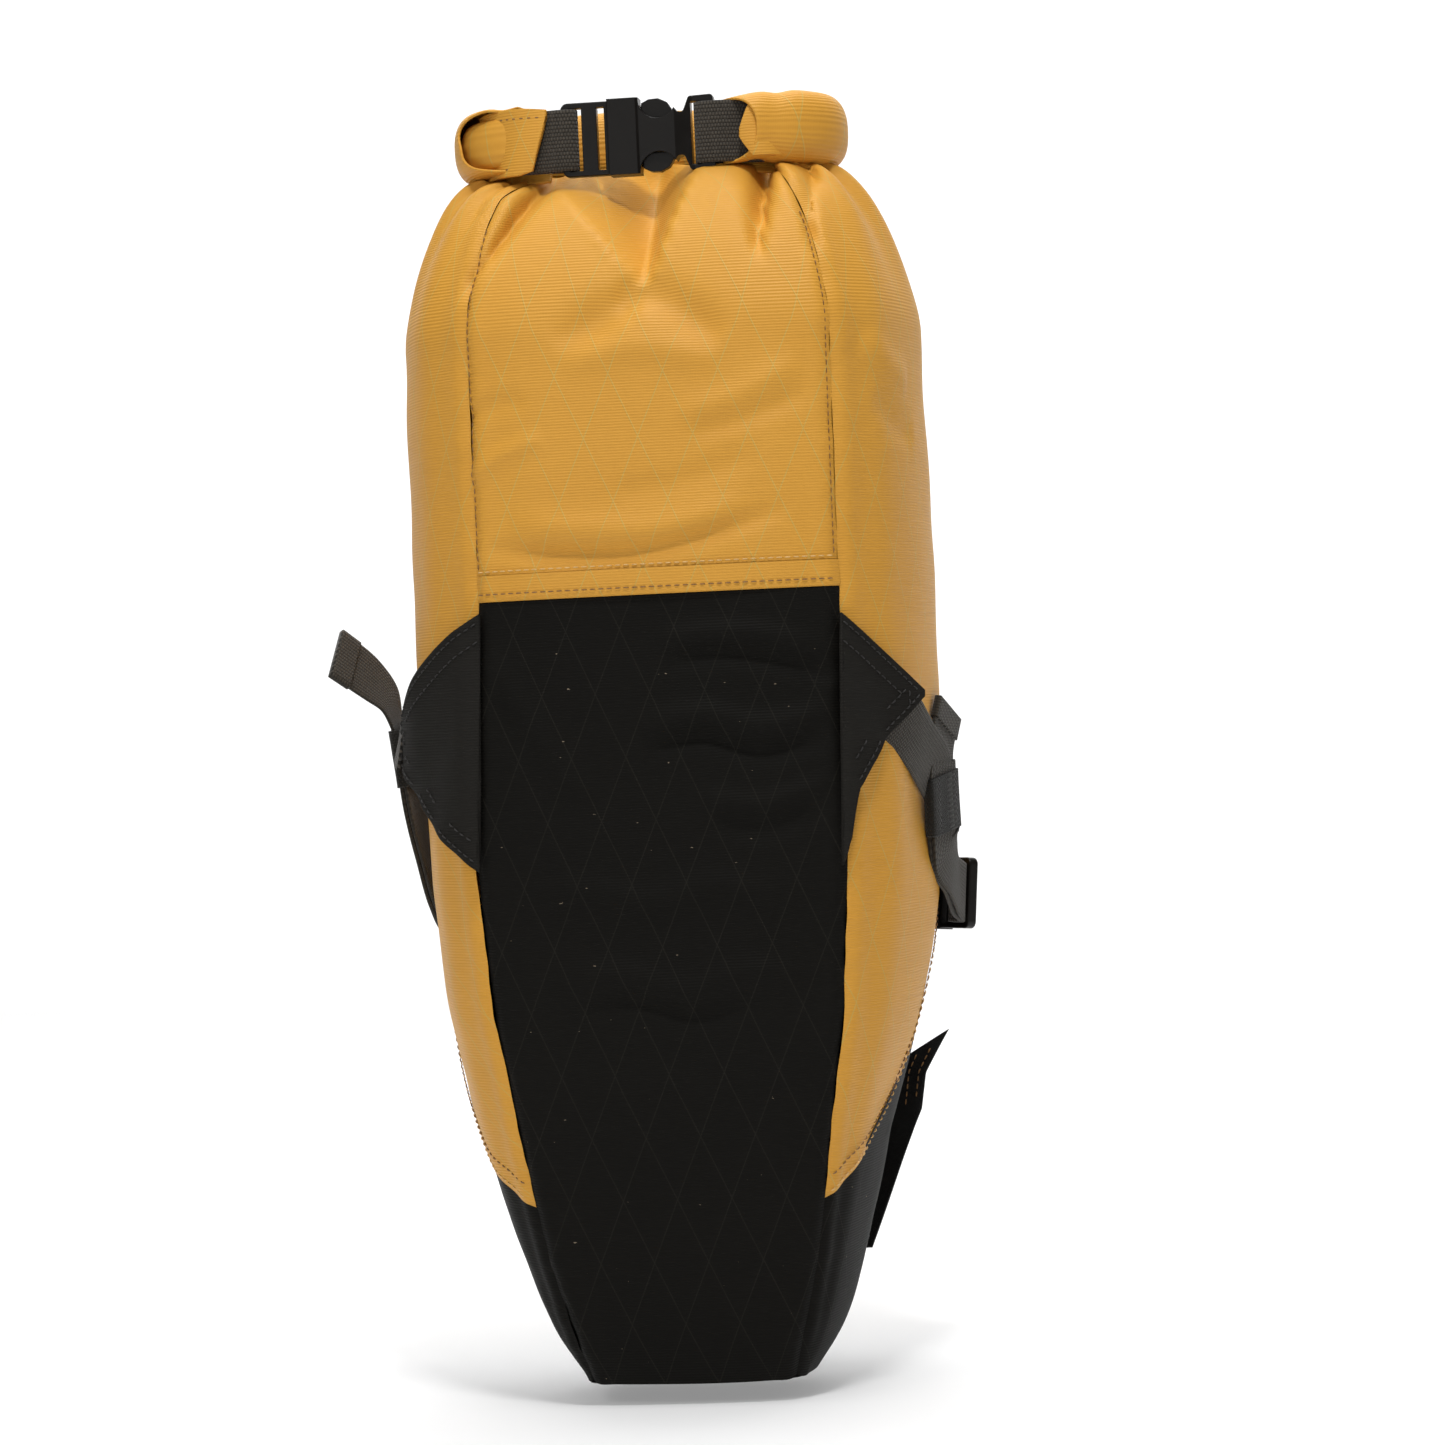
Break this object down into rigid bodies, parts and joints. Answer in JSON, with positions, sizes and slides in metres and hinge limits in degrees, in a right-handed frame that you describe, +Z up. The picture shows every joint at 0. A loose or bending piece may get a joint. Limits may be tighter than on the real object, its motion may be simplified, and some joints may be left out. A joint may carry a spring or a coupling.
{
  "type": "saddle bag",
  "caption": "Roll-top seat pack standing on its tapered nose, with a clipped rolled mouth, side wings, webbing straps and a seatpost wrap.",
  "frame": {"origin": "on the flat of the nose base, under the roll's middle", "axes": "+X to the bag's right seen from its underside panel, -Y the underside panel, +Y the saddle side, +Z up towards the rolled mouth"},
  "size_m": [0.2595, 0.1953, 0.526],
  "materials": {
    "fabric_ochre": "ripstop weave with a slight sheen",
    "fabric_black": "laminated weave, satin",
    "webbing": "ribbed webbing",
    "elastic": "flat elastic",
    "hook_loop": "hook-and-loop",
    "plastic": "moulded, semi-gloss"
  },
  "bodies": {
    "bag": {"base_panel": "fabric_black", "front_panel_lower": "fabric_black", "front_panel_upper": "fabric_ochre", "front_hem": "fabric_ochre", "side_panel_left": "fabric_ochre", "side_panel_right": "fabric_ochre", "side_nose_left": "fabric_black", "side_nose_right": "fabric_black", "back_panel_nose": "fabric_black", "back_panel_upper": "fabric_ochre", "neck_gather": "fabric_ochre", "roll_core": "fabric_ochre", "roll_arm_right": "fabric_ochre", "roll_web_right": "webbing", "roll_buckle_female": "plastic", "wing_left": "fabric_black", "wing_right": "fabric_black", "strap_fixed_left": "webbing", "strap_fixed_right": "webbing", "strap_loose_left": "webbing", "strap_loose_right": "webbing", "side_buckle_left_female": "plastic", "side_buckle_right_female": "plastic", "anchor_web_left": "webbing", "anchor_web_right": "webbing", "post_pad": "hook_loop", "post_wrap": "hook_loop"},
    "roll_left_end": {"roll_arm_left": "fabric_ochre", "roll_web_left": "webbing", "roll_buckle_male": "plastic"},
    "roll_latch_upper": {"roll_buckle_arm_upper": "plastic"},
    "roll_latch_lower": {"roll_buckle_arm_lower": "plastic"},
    "side_left_male": {"side_buckle_left_male": "plastic"},
    "side_left_latch_upper": {"side_buckle_left_arm_upper": "plastic"},
    "side_left_latch_lower": {"side_buckle_left_arm_lower": "plastic"},
    "side_right_male": {"side_buckle_right_male": "plastic"},
    "side_right_latch_upper": {"side_buckle_right_arm_upper": "plastic"},
    "side_right_latch_lower": {"side_buckle_right_arm_lower": "plastic"},
    "keeper_left": {"keeper_left": "elastic"},
    "keeper_right": {"keeper_right": "elastic"},
    "post_tail": {"post_tail": "hook_loop"}
  },
  "joints": [
    {"name": "roll_buckle_release", "type": "slide", "parent": "bag", "child": "roll_left_end", "axis": [-1, 0, 0], "range_m": [0, 0.032], "deforming": ["roll_buckle_arm_upper", "roll_buckle_arm_lower"]},
    {"name": "roll_buckle_latch_upper", "type": "hinge", "parent": "roll_left_end", "child": "roll_latch_upper", "pos_m": [-0.0119, -0.042, 0.514], "axis": [0, 1, 0], "range_deg": [0, 9], "stiffness_Nm_per_rad": 0.05},
    {"name": "roll_buckle_latch_lower", "type": "hinge", "parent": "roll_left_end", "child": "roll_latch_lower", "pos_m": [-0.0119, -0.042, 0.5], "axis": [0, -1, 0], "range_deg": [0, 9], "stiffness_Nm_per_rad": 0.05},
    {"name": "side_buckle_left_release", "type": "slide", "parent": "bag", "child": "side_left_male", "axis": [-0.6801, -0.7331, 0], "range_m": [0, 0.03], "deforming": ["side_buckle_left_arm_upper", "side_buckle_left_arm_lower"]},
    {"name": "side_buckle_left_latch_upper", "type": "hinge", "parent": "side_left_male", "child": "side_left_latch_upper", "pos_m": [-0.09298, 0.07307, 0.19496], "axis": [-0.7294, 0.6766, -0.1012], "range_deg": [0, 9], "stiffness_Nm_per_rad": 0.05},
    {"name": "side_buckle_left_latch_lower", "type": "hinge", "parent": "side_left_male", "child": "side_left_latch_lower", "pos_m": [-0.09195, 0.07211, 0.18104], "axis": [0.7294, -0.6766, 0.1012], "range_deg": [0, 9], "stiffness_Nm_per_rad": 0.05},
    {"name": "side_buckle_right_release", "type": "slide", "parent": "bag", "child": "side_right_male", "axis": [0.6801, -0.7331, 0], "range_m": [0, 0.03], "deforming": ["side_buckle_right_arm_upper", "side_buckle_right_arm_lower"]},
    {"name": "side_buckle_right_latch_upper", "type": "hinge", "parent": "side_right_male", "child": "side_right_latch_upper", "pos_m": [0.10298, 0.06307, 0.19696], "axis": [-0.7294, -0.6766, 0.1012], "range_deg": [0, 9], "stiffness_Nm_per_rad": 0.05},
    {"name": "side_buckle_right_latch_lower", "type": "hinge", "parent": "side_right_male", "child": "side_right_latch_lower", "pos_m": [0.10195, 0.06211, 0.18304], "axis": [0.7294, 0.6766, -0.1012], "range_deg": [0, 9], "stiffness_Nm_per_rad": 0.05},
    {"name": "keeper_left_slide", "type": "slide", "parent": "bag", "child": "keeper_left", "axis": [-0.118, 0, 0.993], "range_m": [-0.006, 0.01]},
    {"name": "keeper_right_slide", "type": "slide", "parent": "bag", "child": "keeper_right", "axis": [0, -0.1569, 0.9876], "range_m": [-0.006, 0.01]},
    {"name": "post_tail_peel", "type": "hinge", "parent": "bag", "child": "post_tail", "pos_m": [0.02, 0.06367, 0.0806], "axis": [0, 0.3256, 0.9455], "range_deg": [0, 85]}
  ],
  "couplings": [
    {"joint": "roll_buckle_latch_lower", "follows": "roll_buckle_latch_upper", "ratio": 1},
    {"joint": "side_buckle_left_latch_lower", "follows": "side_buckle_left_latch_upper", "ratio": 1},
    {"joint": "side_buckle_right_latch_lower", "follows": "side_buckle_right_latch_upper", "ratio": 1}
  ]
}
